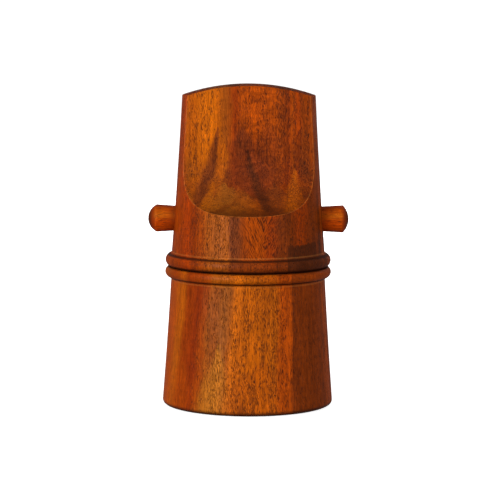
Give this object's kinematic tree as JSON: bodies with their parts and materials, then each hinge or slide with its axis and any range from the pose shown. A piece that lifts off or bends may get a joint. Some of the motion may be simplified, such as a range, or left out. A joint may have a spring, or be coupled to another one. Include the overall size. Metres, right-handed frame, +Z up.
{
  "type": "screw press nutcracker",
  "caption": "Turned wooden screw-press nutcracker: flat-sided tapered head with side pegs, screwed into a conical base that holds the nut, meeting at a double bead.",
  "frame": {"origin": "centre of the face it stands on", "axes": "+Z up along the turning axis and the screw, X along the two pegs, flats of the grip facing -Y (front) and +Y (back)"},
  "size_m": [0.094, 0.08, 0.1508],
  "materials": {
    "teak_golden": "oiled, satin",
    "teak_reddish": "oiled, satin",
    "teak_dark": "oiled, satin",
    "teak_peg": "oiled, satin",
    "brass": "turned",
    "turned_steel": "turned",
    "screw_steel": "zinc grey",
    "felt": "felt"
  },
  "bodies": {
    "base": {"base_board_left": "teak_reddish", "base_board_center": "teak_golden", "base_board_right": "teak_dark", "threaded_ring": "brass", "ring_screws": "screw_steel", "anvil_plate": "turned_steel", "anvil_screw": "screw_steel", "anvil_washer": "screw_steel", "base_pad": "felt"},
    "foot": {"press_foot": "turned_steel", "foot_spindle": "turned_steel", "thrust_washer": "brass", "retaining_washer": "screw_steel", "retaining_ring": "screw_steel"},
    "head": {"head_board_left": "teak_reddish", "head_board_center": "teak_golden", "head_board_right": "teak_dark", "threaded_plunger": "turned_steel", "plunger_screws": "screw_steel", "left_peg": "teak_peg", "right_peg": "teak_peg"}
  },
  "joints": [
    {"name": "foot_slide", "type": "slide", "parent": "base", "child": "foot", "axis": [0, 0, 1], "range_m": [0, 0.0841]},
    {"name": "head_turn", "type": "hinge", "parent": "foot", "child": "head", "pos_m": [0, 0, 0.0876], "axis": [0, 0, 1], "range_deg": [0, 5040]}
  ],
  "couplings": [
    {"joint": "foot_slide", "follows": "head_turn", "m_per_rad": 0.00095493}
  ]
}
